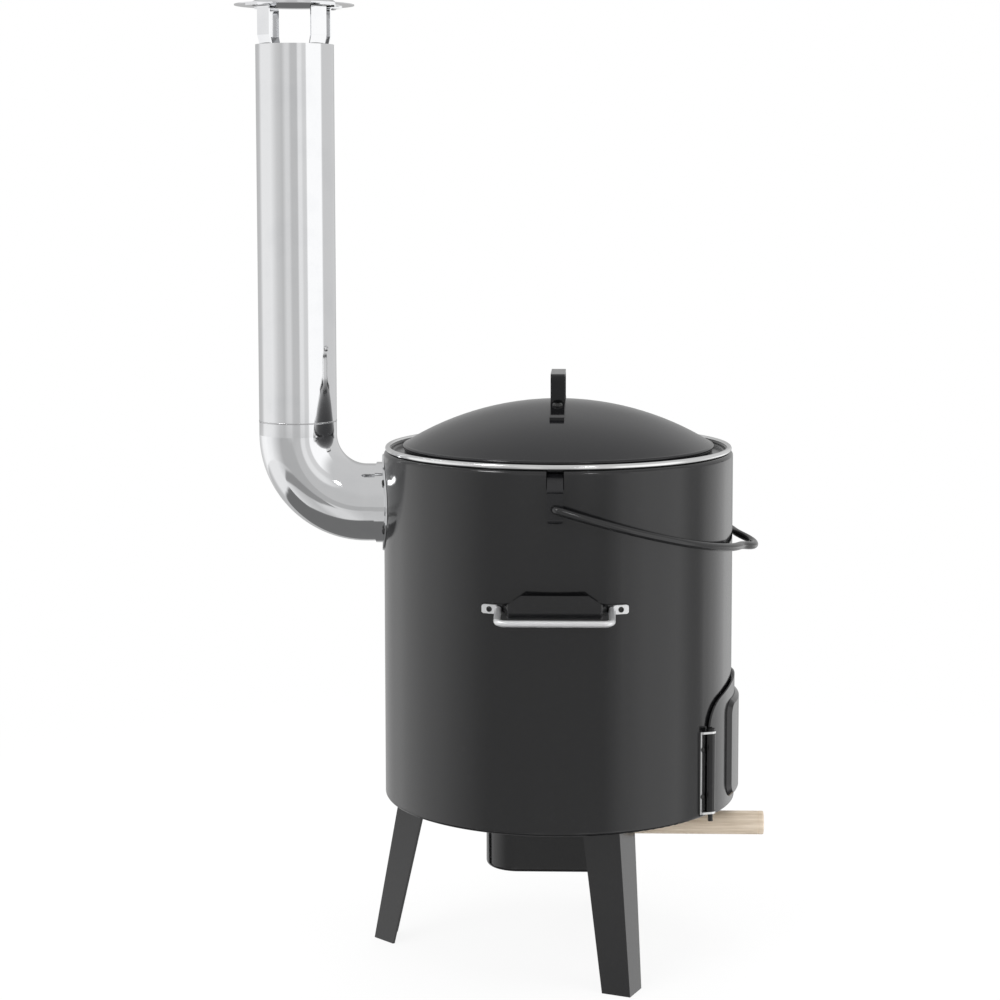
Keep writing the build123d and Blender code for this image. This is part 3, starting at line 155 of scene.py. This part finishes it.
def makeGrainSkin(s):  # rough iron or wood: coarse and fine noise on stretched coordinates
    group, enter, leave = newGroup("grainSkin", [
        ("Low Color", "Color", (0.1, 0.1, 0.1, 1)), ("High Color", "Color", (0.2, 0.2, 0.2, 1)),
        ("Scale", "Vector", (200.0, 200.0, 200.0)), ("Rough Low", "Float", 0.5), ("Rough High", "Float", 0.7),
        ("Depth", "Float", 0.3)], skinOutputs)
    place = addNode(group, "TexCoord").outputs["Object"]
    stretched = addNode(group, "VectorMath", {"operation": "MULTIPLY"}, i0=place,
                        i1=enter.outputs["Scale"]).outputs[0]
    grain = addNoise(group, stretched, 1.0, s["detail"], s["grain"])
    mask = addRange(group, grain, s["edge"])
    color = addMix(group, mask, enter.outputs["Low Color"], enter.outputs["High Color"])
    rough = addRange(group, mask, target=(enter.outputs["Rough Low"], enter.outputs["Rough High"]))
    bump = addNode(group, "Bump", Strength=enter.outputs["Depth"], Distance=s["depth"], Height=grain)
    return closeSkin(group, leave, color, rough, bump.outputs[0])


skins = {
    "enamel": makeEnamelSkin(enamelShape),
    "sheet": makeSheetSkin(sheetShape),
    "grain": makeGrainSkin(grainShape),
}


def makeFinish(name, skin, skinInputs, shaderInputs):
    material = bpy.data.materials.new(name)
    material.use_nodes = True
    tree = material.node_tree
    tree.nodes.clear()
    group = tree.nodes.new("ShaderNodeGroup")
    group.node_tree = skins[skin]
    for key, value in skinInputs.items():
        group.inputs[key].default_value = value
    shader = tree.nodes.new("ShaderNodeBsdfPrincipled")
    for key, value in shaderInputs.items():
        shader.inputs[key].default_value = value
    for made, wanted in (("Color", "Base Color"), ("Roughness", "Roughness"), ("Normal", "Normal")):
        tree.links.new(group.outputs[made], shader.inputs[wanted])
    out = tree.nodes.new("ShaderNodeOutputMaterial")
    tree.links.new(shader.outputs[0], out.inputs["Surface"])
    return material


finishSettings = {
    "drumEnamel": ("enamel", {"Color": (0.006, 0.006, 0.0065, 1), "Dust Color": (0.05, 0.05, 0.05, 1),
                              "Gloss Roughness": 0.10, "Drift": 0.04, "Dust": 0.25, "Peel": 0.04},
                   {"Specular IOR Level": 0.62}),
    "lidEnamel": ("enamel", {"Color": (0.008, 0.008, 0.009, 1), "Dust Color": (0.05, 0.05, 0.05, 1),
                             "Gloss Roughness": 0.12, "Drift": 0.05, "Dust": 0.25, "Peel": 0.05}, {}),
    "bridgeEnamel": ("enamel", {"Color": (0.004, 0.004, 0.0045, 1), "Dust Color": (0.04, 0.04, 0.04, 1),
                                "Gloss Roughness": 0.05, "Drift": 0.02, "Dust": 0.2, "Peel": 0.03},
                     {"Specular IOR Level": 0.36}),
    "brightSheet": ("sheet", {"Color": (0.80, 0.805, 0.815, 1), "Smear Color": (0.70, 0.71, 0.73, 1),
                              "Gloss Roughness": 0.05, "Smear": 0.6, "Wave": 0.12,
                              "Line Scale": (500.0, 500.0, 10.0)}, {"Metallic": 1.0}),
    "rimSteel": ("sheet", {"Color": (0.82, 0.82, 0.82, 1), "Smear Color": (0.66, 0.66, 0.66, 1),
                           "Gloss Roughness": 0.12, "Smear": 0.5, "Wave": 0.05,
                           "Line Scale": (200.0, 200.0, 200.0)}, {"Metallic": 1.0}),
    "handleSteel": ("sheet", {"Color": (0.74, 0.745, 0.75, 1), "Smear Color": (0.60, 0.60, 0.61, 1),
                              "Gloss Roughness": 0.30, "Smear": 0.5, "Wave": 0.05,
                              "Line Scale": (30.0, 400.0, 400.0)}, {"Metallic": 0.75}),
    "blackScrew": ("enamel", {"Color": (0.006, 0.006, 0.006, 1), "Dust Color": (0.04, 0.04, 0.04, 1),
                              "Gloss Roughness": 0.16, "Drift": 0.05, "Dust": 0.2, "Peel": 0.03}, {}),
    "zincPlate": ("sheet", {"Color": (0.62, 0.62, 0.63, 1), "Smear Color": (0.45, 0.45, 0.45, 1),
                            "Gloss Roughness": 0.26, "Smear": 0.7, "Wave": 0.05,
                            "Line Scale": (700.0, 700.0, 700.0)}, {"Metallic": 1.0}),
    "grateIron": ("grain", {"Low Color": (0.02, 0.019, 0.018, 1), "High Color": (0.05, 0.048, 0.046, 1),
                            "Scale": (350.0, 350.0, 350.0), "Rough Low": 0.55, "Rough High": 0.8,
                            "Depth": 0.6}, {"Metallic": 0.4}),
    "gripWood": ("grain", {"Low Color": (0.58, 0.47, 0.35, 1), "High Color": (0.80, 0.69, 0.56, 1),
                           "Scale": (18.0, 380.0, 380.0), "Rough Low": 0.55, "Rough High": 0.7,
                           "Depth": 0.25}, {}),
}
finishes = {name: makeFinish(name, *parts) for name, parts in finishSettings.items()}

nodeFinish = {
    "drumEnamel": ["shell_body", "floor_plate", "leg_flue_side", "leg_near", "leg_far", "pan_rail_far",
                   "pan_rail_near", "ash_pan", "handle_shield_near", "handle_shield_far", "fire_door",
                   "bail"],
    "lidEnamel": ["cauldron", "lid", "bail_ear_near", "bail_ear_far"],
    "bridgeEnamel": ["lid_handle"],
    "brightSheet": ["flue_elbow", "flue_collar", "flue_pipe", "chimney_cap", "cap_strap_1", "cap_strap_2",
                    "cap_strap_3", "cap_strap_4"],
    "rimSteel": ["cauldron_rim", "hinge_bracket"],
    "handleSteel": ["side_handle_near", "side_handle_far"],
    "blackScrew": ["handle_screws", "lid_handle_screws", "collar_screws", "hinge_rivets", "hinge_pin"],
    "zincPlate": ["leg_bolts", "leg_nuts", "rail_rivets", "ash_pan_rod", "ash_pan_nuts", "lid_handle_nuts",
                  "flue_pipe_rivet", "cap_rivets", "handle_nuts", "latch_lever", "latch_tongue", "latch_nut"],
    "grateIron": ["fire_grate"],
    "gripWood": ["ash_pan_grip"],
}
for finish, names in nodeFinish.items():
    for name in names:
        nodes[name].data.materials.clear()
        nodes[name].data.materials.append(finishes[finish])
print("finishes on", sum(len(names) for names in nodeFinish.values()), "nodes")


# Detail pieces: domed fasteners, the turned grip, the pipe's rolled end, the rim and the sheet seams

def spinProfile(bm, profile, place, axis, steps):  # rows are radius, height and the sides of a socket
    turn = axis.to_track_quat("Z", "Y").to_matrix()
    rings = []
    for radius, height, *sides in profile:
        if radius == 0:
            rings.append([bm.verts.new(place + turn @ Vector((0, 0, height)))])
            continue
        ring = []
        for step in range(steps):
            angle = 2 * math.pi * step / steps
            reach = radius
            if sides:
                wedge = math.pi / sides[0]
                reach = radius / math.cos(angle % (2 * wedge) - wedge)
            spot = Vector((reach * math.cos(angle), reach * math.sin(angle), height))
            ring.append(bm.verts.new(place + turn @ spot))
        rings.append(ring)
    for low, high in zip(rings, rings[1:]):
        for step in range(steps):
            after = (step + 1) % steps
            corners = [low[step], low[after]] if len(low) > 1 else [low[0]]
            corners += [high[after], high[step]] if len(high) > 1 else [high[0]]
            bm.faces.new(corners)


sharpEdge = math.radians(40)  # faces that meet at less are shaded as one


def addPiece(name, bm, body, finish, replaced=()):
    bmesh.ops.recalc_face_normals(bm, faces=bm.faces)
    mesh = bpy.data.meshes.new(name)
    bm.to_mesh(mesh)
    bm.free()
    mesh.shade_smooth()
    mesh.set_sharp_from_angle(angle=sharpEdge)
    mesh.materials.append(finishes[finish])
    piece = bpy.data.objects.new(name, mesh)
    bpy.context.scene.collection.objects.link(piece)
    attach(piece, body)
    if replaced:
        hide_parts(*replaced)
    return piece


def findIslands(node):  # the separate solids of a node, as lists of places
    bm = bmesh.new()
    bm.from_mesh(node.data)
    bmesh.ops.remove_doubles(bm, verts=bm.verts, dist=weld)
    left = set(bm.verts)
    islands = []
    for seed in list(bm.verts):
        if seed not in left:
            continue
        left.discard(seed)
        island = [seed]
        for vert in island:
            for edge in vert.link_edges:
                other = edge.other_vert(vert)
                if other in left:
                    left.discard(other)
                    island.append(other)
        islands.append([vert.co.copy() for vert in island])
    bm.free()
    return islands


headShape = {"edgeShare": 0.28, "domeSteps": 7, "socketShare": 0.55, "holeShare": 0.80, "holeSides": 6,
             "socketDepthShare": 0.55, "dimpleShare": 0.30, "dimpleFloorShare": 0.6,
             "dimpleDepthShare": 0.18, "shankShare": 0.8, "headShare": 0.95, "around": 48}


def domeRows(radius, base, top, recess):  # from the head's rim to its middle
    s = headShape
    rise = top - base
    edge = base + rise * s["edgeShare"]
    rows = [(radius, base), (radius, edge)]
    last = s["socketShare"] if recess else s["dimpleShare"]
    for step in range(1, s["domeSteps"] + 1):
        share = 1 - (1 - last) * (step / s["domeSteps"])
        lift = (top - edge) * math.sqrt(1 - share ** 2) / math.sqrt(1 - last ** 2)
        rows.append((radius * share, edge + lift))
    if recess:
        hole = radius * last * s["holeShare"]
        floor = top - rise * s["socketDepthShare"]
        return rows + [(hole, top, s["holeSides"]), (hole, floor, s["holeSides"]), (0, floor)]
    floor = top - rise * s["dimpleDepthShare"]
    return rows + [(radius * last * s["dimpleFloorShare"], floor), (0, floor)]


fasteners = {  # node: body, slot, finish, socket in the head, which way its axis runs
    "lid_handle_screws": ("pot_lid", "zinc_steel", "blackScrew", True, "dome"),
    "handle_screws": ("stove", "zinc_steel", "blackScrew", True, "drum"),
    "collar_screws": ("stove", "zinc_steel", "blackScrew", True, "drum"),
    "hinge_rivets": ("stove", "zinc_steel", "blackScrew", False, "drum"),
    "flue_pipe_rivet": ("chimney", "zinc_steel", "zincPlate", False, "pipe"),
    "cap_rivets": ("rain_cap", "zinc_steel", "zincPlate", False, "up"),
}


def buildFastener(node, body, slotName, finish, recess, run):
    bm = bmesh.new()
    for places in findIslands(nodes[node]):
        middle = sum(places, Vector()) / len(places)
        origins = {"dome": domeCentre, "drum": up * middle.z, "pipe": fluePlace + up * middle.z,
                   "up": middle - up}
        axis = (middle - origins[run]).normalized()
        heights = [(place - middle).dot(axis) for place in places]
        reaches = [(place - middle - axis * height).length for place, height in zip(places, heights)]
        head = max(reaches)
        shank = max(reach for reach in reaches if reach < headShape["shankShare"] * head)
        rims = [height for height, reach in zip(heights, reaches) if reach > headShape["headShare"] * head]
        base = min(height for height in rims if height > 0)
        far = [height for height in rims if height < 0]  # a rivet has a second head
        if far:
            under = [(row[0], -row[1]) for row in reversed(domeRows(head, -max(far), -min(far), False))]
        else:
            under = [(0, min(heights)), (shank, min(heights))]
        stem = [(shank, max(far or [base])), (shank, base)]
        rows = under + stem + domeRows(head, base, max(heights), recess)
        spinProfile(bm, rows, middle, axis, headShape["around"])
    addPiece(node + "_domed", bm, body, finish, replaced=(node,))


for node, facts in fasteners.items():
    buildFastener(node, *facts)
print("fasteners built:", len(fasteners))

grip = {"start": Vector((77 * mm, 0, 127 * mm)), "length": 138 * mm, "radius": 12.2 * mm, "bore": 4.05 * mm,
        "boreDepth": 96 * mm, "inner": 2.0 * mm, "outer": 1.4 * mm, "ring": 5.2 * mm, "ringWidth": 0.9 * mm,
        "ringDepth": 0.35 * mm, "ringFloorShares": (0.7, 0.3), "steps": 5, "around": 72}


def buildGrip(g):  # rounded ends, the rod's bore and a ring line near the outer end
    rows = [(0, g["boreDepth"]), (g["bore"], g["boreDepth"]), (g["bore"], 0)]
    for step in range(g["steps"] + 1):
        angle = math.pi / 2 * step / g["steps"]
        rows.append((g["radius"] - g["inner"] * (1 - math.sin(angle)), g["inner"] * (1 - math.cos(angle))))
    ringEnd = g["length"] - g["ring"]
    rows.append((g["radius"], ringEnd - g["ringWidth"]))
    for share in g["ringFloorShares"]:
        rows.append((g["radius"] - g["ringDepth"], ringEnd - share * g["ringWidth"]))
    rows.append((g["radius"], ringEnd))
    for step in range(g["steps"] + 1):
        angle = math.pi / 2 * step / g["steps"]
        rows.append((g["radius"] - g["outer"] * (1 - math.cos(angle)),
                     g["length"] - g["outer"] * (1 - math.sin(angle))))
    rows.append((0, g["length"]))
    bm = bmesh.new()
    spinProfile(bm, rows, g["start"], Vector((1, 0, 0)), g["around"])
    addPiece("ash_pan_grip_turned", bm, "pan", "gripWood", replaced=("ash_pan_grip",))


pipeEnd = {"low": 548.4 * mm, "radius": 40 * mm, "proud": 0.3 * mm, "height": 1.3 * mm, "sunk": 0.4 * mm,
           "steps": 6, "around": 96}


def buildPipeEnd(p):  # the pipe's rolled lower end, which stands on the elbow
    rows = [(p["radius"] - p["sunk"], 0)]
    for step in range(p["steps"] + 1):
        angle = math.pi * step / p["steps"]
        rows.append((p["radius"] + p["proud"] * math.sin(angle), p["height"] * (1 - math.cos(angle)) / 2))
    rows.append((p["radius"] - p["sunk"], p["height"]))
    bm = bmesh.new()
    spinProfile(bm, rows + rows[:1], fluePlace + up * p["low"], up, p["around"])
    bmesh.ops.remove_doubles(bm, verts=bm.verts, dist=weld)
    addPiece("flue_pipe_rolled_end", bm, "chimney", "zincPlate")


ring = {"radius": 176 * mm, "height": 522.5 * mm, "wire": 2.6 * mm, "slot": 0.75 * mm, "around": 288,
        "across": 28}


def buildRing(r):  # the rolled rim, with the slot that the cauldron's edge sits in
    mouth = math.asin(r["slot"] / r["wire"])
    rows = []
    for step in range(r["across"] + 1):
        angle = (math.pi - mouth) * (1 - 2 * step / r["across"])
        rows.append((r["radius"] + r["wire"] * math.cos(angle), r["wire"] * math.sin(angle)))
    rows += [(r["radius"], -r["slot"]), (r["radius"], r["slot"]), rows[0]]
    bm = bmesh.new()
    spinProfile(bm, rows, up * r["height"], up, r["around"])
    bmesh.ops.remove_doubles(bm, verts=bm.verts, dist=weld)
    addPiece("cauldron_rim_rolled", bm, "pot", "rimSteel", replaced=("cauldron_rim",))


seamSection = {"sunk": 0.3 * mm, "shares": [(1, 0.35), (0.8, 0.8), (0.5, 1)]}  # half width, rise
seams = {
    "flue_pipe_seam": {"body": "chimney", "slot": "bright_steel", "finish": "brightSheet",
                       "middle": fluePlace, "radius": 40 * mm, "degrees": 100, "low": 552 * mm,
                       "high": 931 * mm, "width": 5.5 * mm, "proud": 0.55 * mm},
    "drum_seam": {"body": "stove", "slot": "black_enamel", "finish": "drumEnamel",
                  "middle": Vector(), "radius": 180 * mm, "degrees": 128, "low": 166 * mm,
                  "high": 509 * mm, "width": 3.2 * mm, "proud": 0.4 * mm},
}


def buildSeam(name, s):  # a low flat strip along the wall
    half = [(1, -seamSection["sunk"])]
    half += [(side, share * s["proud"]) for side, share in seamSection["shares"]]
    section = [(-side, out) for side, out in half] + half[::-1]
    bm = bmesh.new()
    rows = []
    for height in (s["low"], s["high"]):
        row = []
        for side, out in section:
            angle = math.radians(s["degrees"]) + side * s["width"] / 2 / s["radius"]
            reach = s["radius"] + out
            spot = Vector((reach * math.cos(angle), reach * math.sin(angle), height))
            row.append(bm.verts.new(s["middle"] + spot))
        rows.append(row)
    low, high = rows
    for step in range(len(section)):
        after = (step + 1) % len(section)
        bm.faces.new([low[step], low[after], high[after], high[step]])
    bm.faces.new(low)
    bm.faces.new(high)
    addPiece(name, bm, s["body"], s["finish"])


buildGrip(grip)
buildPipeEnd(pipeEnd)
buildRing(ring)
for name, seam in seams.items():
    buildSeam(name, seam)
print("grip, pipe end, rim and seams built")


# Studio: white floor and sky for the camera, banded surroundings for the bright metal and the enamel

studio = {
    "highStops": [(0.000, 0.49), (0.020, 0.49), (0.150, 0.62), (0.190, 0.96), (0.300, 0.96), (0.360, 0.70),
                  (0.409, 0.60), (0.440, 0.80), (0.465, 0.80), (0.485, 0.61), (0.532, 0.61), (0.542, 0.92),
                  (0.566, 0.92), (0.580, 0.77), (0.606, 0.77), (0.613, 1.20), (0.745, 1.20), (0.757, 0.70),
                  (0.940, 0.70), (0.980, 0.49), (1.000, 0.49)],  # turn round the stove, brightness
    "lowStops": [(0.000, 0.46), (0.030, 0.50), (0.053, 0.60), (0.112, 0.78), (0.150, 1.08), (0.206, 1.14),
                 (0.271, 1.03), (0.326, 0.75), (0.370, 0.50), (0.586, 0.50), (0.617, 0.83), (0.665, 1.13),
                 (0.738, 1.15), (0.770, 0.70), (0.790, 0.60), (0.830, 1.04), (0.862, 1.20), (0.900, 1.25),
                 (0.940, 0.80), (0.970, 0.46), (1.000, 0.46)],
    "patchStops": [(0.000, 1.00), (0.300, 1.00), (0.316, 0.486), (0.358, 0.372), (0.406, 0.335),
                   (0.440, 0.320), (0.462, 0.320), (0.470, 1.00), (1.000, 1.00)],  # turn, top of a dark patch
    "stripeStops": [(0.000, 0.50), (0.373, 0.505), (0.409, 0.512), (0.435, 0.497), (0.460, 0.415),
                    (0.500, 0.50), (1.000, 0.50)],  # its lower edge
    "groundStops": [(0.000, 0.62), (0.100, 0.62), (0.137, 0.57), (0.202, 0.60), (0.243, 0.61),
                    (0.305, 0.566), (0.315, 0.65), (0.335, 0.73), (0.392, 0.757), (0.434, 0.765),
                    (0.481, 0.75), (0.600, 0.72), (0.900, 0.65), (1.000, 0.62)],  # top of the dark ground
    "bandSplit": (-0.122, -0.108),  # sine of the elevation between the low and the high bands
    "bandEnd": (-0.335, -0.315),  # below it the high bands come back
    "ceilingEdge": (0.30, 0.65),  # sine of the elevation where the bands fade to the plain ceiling
    "ceilingLevel": 0.66,
    "groundSoft": 0.02,
    "patchLevel": 0.32,
    "groundLevel": 0.18,
    "softBoxes": [  # small lights that only reflections show; edge is two cosines
        {"aim": (0.308, -0.735, 0.603), "edge": (0.9972, 0.9988), "level": 12.0},
        {"aim": (-0.563, -0.379, 0.725), "edge": (0.982, 0.992), "level": 14.0},
    ],
    "diffuseLevel": 0.55,
    "floorHalf": 9.0,
    "floorSunk": 0.2 * mm,
    "paperLevel": 0.9,
    "floorGlow": (0.90, 1.0),  # camera glow near the stove and far from it
    "floorGlowReach": (0.5, 1.3),
}


def addBands(tree, turn, stops):
    ramp = tree.nodes.new("ShaderNodeValToRGB")
    while len(ramp.color_ramp.elements) > 1:
        ramp.color_ramp.elements.remove(ramp.color_ramp.elements[-1])
    for index, (place, level) in enumerate(stops):
        stop = ramp.color_ramp.elements[0] if index == 0 else ramp.color_ramp.elements.new(place)
        stop.position = place
        stop.color = grey(level)
    tree.links.new(turn, ramp.inputs[0])
    return ramp.outputs[0]


def addFade(tree, height, edge, below, above):  # below and above are a socket or a grey level
    return addMix(tree, addRange(tree, height, edge, kind="SMOOTHSTEP"), below, above)


def buildWorld(s):
    world = bpy.data.worlds.new("studioWorld")
    bpy.context.scene.world = world
    world.use_nodes = True
    tree = world.node_tree
    tree.nodes.clear()
    direction = addNode(tree, "TexCoord").outputs["Generated"]
    parts = addNode(tree, "SeparateXYZ", Vector=direction)
    angle = addMath(tree, "ARCTAN2", parts.outputs["X"], addMath(tree, "MULTIPLY", parts.outputs["Y"], -1.0))
    turn = addRange(tree, angle, (-math.pi, math.pi))
    height = parts.outputs["Z"]
    low = addBands(tree, turn, s["lowStops"])
    high = addBands(tree, turn, s["highStops"])
    whole = addFade(tree, height, s["bandSplit"], addFade(tree, height, s["bandEnd"], high, low), high)
    breaks = (("patchStops", s["patchLevel"]), ("stripeStops", high), ("groundStops", s["groundLevel"]))
    for stops, below in breaks:
        above = addMath(tree, "ADD", height, addBands(tree, turn, s[stops]))
        whole = addFade(tree, above, (-s["groundSoft"], s["groundSoft"]), below, whole)
    whole = addFade(tree, height, s["ceilingEdge"], whole, s["ceilingLevel"])
    for box in s["softBoxes"]:
        toward = addNode(tree, "VectorMath", {"operation": "DOT_PRODUCT"}, i0=direction, i1=box["aim"])
        whole = addFade(tree, toward.outputs["Value"], box["edge"], whole, box["level"])
    rays = addNode(tree, "LightPath")
    soft = addNode(tree, "Background", Color=grey(1), Strength=s["diffuseLevel"])
    glossy = addNode(tree, "Background", Color=whole, Strength=1.0)
    white = addNode(tree, "Background", Color=grey(1), Strength=1.0)
    bounced = addNode(tree, "MixShader", i0=rays.outputs["Is Glossy Ray"], i1=soft.outputs[0],
                      i2=glossy.outputs[0])
    straight = addMath(tree, "MAXIMUM", rays.outputs["Is Camera Ray"], rays.outputs["Is Transmission Ray"])
    mixed = addNode(tree, "MixShader", i0=straight, i1=bounced.outputs[0], i2=white.outputs[0])
    out = tree.nodes.new("ShaderNodeOutputWorld")
    tree.links.new(mixed.outputs[0], out.inputs["Surface"])


def buildFloor(s):
    half = s["floorHalf"]
    mesh = bpy.data.meshes.new("studioFloor")
    corners = [(-half, -half, 0), (half, -half, 0), (half, half, 0), (-half, half, 0)]
    mesh.from_pydata(corners, [], [(0, 1, 2, 3)])
    floor = bpy.data.objects.new("studioFloor", mesh)
    bpy.context.scene.collection.objects.link(floor)
    floor.location.z = -s["floorSunk"]
    floor.visible_glossy = False
    material = bpy.data.materials.new("floorPaper")
    material.use_nodes = True
    tree = material.node_tree
    tree.nodes.clear()
    place = addNode(tree, "TexCoord").outputs["Object"]
    reach = addNode(tree, "VectorMath", {"operation": "LENGTH"}, i0=place)
    glow = addRange(tree, reach.outputs["Value"], s["floorGlowReach"], s["floorGlow"], "SMOOTHSTEP")
    paper = addNode(tree, "BsdfDiffuse", Color=grey(s["paperLevel"]))
    light = addNode(tree, "Emission", Color=grey(1), Strength=1.0)
    rays = addNode(tree, "LightPath")
    factor = addMath(tree, "MULTIPLY", glow, rays.outputs["Is Camera Ray"])
    mixed = addNode(tree, "MixShader", i0=factor, i1=paper.outputs[0], i2=light.outputs[0])
    out = tree.nodes.new("ShaderNodeOutputMaterial")
    tree.links.new(mixed.outputs[0], out.inputs["Surface"])
    mesh.materials.append(material)


def addLamp(name, place, aim, size, watts):
    light = bpy.data.lights.new(name, "AREA")
    light.size = size
    light.energy = watts
    lamp = bpy.data.objects.new(name, light)
    lamp.location = place
    lamp.rotation_euler = (Vector(aim) - Vector(place)).to_track_quat("-Z", "Y").to_euler()
    lamp.visible_glossy = False
    bpy.context.scene.collection.objects.link(lamp)


lamps = {
    "keyLamp": {"place": (-1.6, -2.0, 2.4), "aim": (0, 0, 0.4), "size": 1.6, "watts": 42},
    "fillLamp": {"place": (2.2, -1.4, 1.4), "aim": (0, 0, 0.4), "size": 1.6, "watts": 26},
    "topLamp": {"place": (0.1, 0.3, 3.0), "aim": (0, 0, 0), "size": 2.4, "watts": 48},
    "backLamp": {"place": (0.5, 2.4, 1.8), "aim": (0, 0, 0.4), "size": 1.8, "watts": 22},
}
buildWorld(studio)
buildFloor(studio)
for lampName, lamp in lamps.items():
    addLamp(lampName, **lamp)

cameraSettings = {
    "place": (0.0419, -2.4783, 0.8130),
    "pitchDown": 0.0974,  # radians
    "yawLeft": 0.0287,
    "lens": 86.905,
    "sensor": 36,
    "shift": (-0.03, -0.10),
}
cameraData = bpy.data.cameras.new("camera")
cameraData.lens = cameraSettings["lens"]
cameraData.sensor_width = cameraSettings["sensor"]
cameraData.shift_x, cameraData.shift_y = cameraSettings["shift"]
camera = bpy.data.objects.new("camera", cameraData)
camera.location = cameraSettings["place"]
camera.rotation_euler = (math.pi / 2 - cameraSettings["pitchDown"], 0, cameraSettings["yawLeft"])
bpy.context.scene.collection.objects.link(camera)
bpy.context.scene.camera = camera
bpy.context.scene.view_settings.view_transform = "Standard"
print("studio and camera ready")
